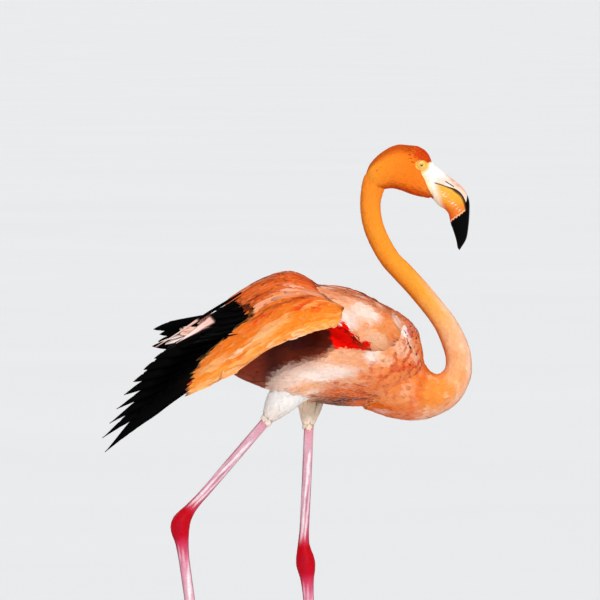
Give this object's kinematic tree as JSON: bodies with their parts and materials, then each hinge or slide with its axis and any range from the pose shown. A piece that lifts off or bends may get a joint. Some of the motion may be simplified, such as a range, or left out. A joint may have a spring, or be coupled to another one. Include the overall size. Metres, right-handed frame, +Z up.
{
  "type": "american flamingo",
  "caption": "Life-size still model of an American flamingo standing with one leg stretched back and one wing half open.",
  "frame": {"origin": "middle of the bird's bounding box at the floor under its feet", "axes": "+X forward, the way the breast points; +Y the bird's left; +Z up"},
  "size_m": [0.5328, 0.313, 0.9307],
  "materials": {
    "head_feathers": "matte feathered skin",
    "neck_feathers": "matte feathered skin",
    "body_feathers": "matte feathered skin",
    "thigh_feathers": "matte feathered skin",
    "wing_coverts": "matte feathered skin",
    "flight_feathers": "matte feather vanes",
    "tail_feathers": "matte feather vanes",
    "leg_scales": "satin scaled skin",
    "hock_scales": "satin scaled skin",
    "foot_scales": "satin scaled skin",
    "claw_horn": "satin horn",
    "bill_pale": "satin horn",
    "bill_orange": "satin horn",
    "eye": "wet gloss"
  },
  "bodies": {
    "root": {"head": "head_feathers", "bill_upper": "bill_pale", "bill_lower": "bill_orange", "eye_left": "eye", "eye_right": "eye", "trunk": "body_feathers", "wing_right_coverts": "wing_coverts", "wing_right_primaries": "flight_feathers", "wing_right_secondaries": "flight_feathers", "wing_left_coverts": "wing_coverts", "wing_left_primaries": "flight_feathers", "tail": "tail_feathers", "neck_1": "neck_feathers", "neck_2": "neck_feathers", "neck_3": "neck_feathers", "neck_4": "neck_feathers", "neck_5": "neck_feathers", "thigh_left": "thigh_feathers", "shank_left": "leg_scales", "hock_left": "hock_scales", "tarsus_left": "leg_scales", "foot_left": "foot_scales", "claw_left_inner": "claw_horn", "claw_left_middle": "claw_horn", "claw_left_outer": "claw_horn", "claw_left_hind": "claw_horn", "thigh_right": "thigh_feathers", "shank_right": "leg_scales", "hock_right": "hock_scales", "tarsus_right": "leg_scales", "foot_right": "foot_scales", "claw_right_inner": "claw_horn", "claw_right_middle": "claw_horn", "claw_right_outer": "claw_horn", "claw_right_hind": "claw_horn"}
  },
  "joints": []
}
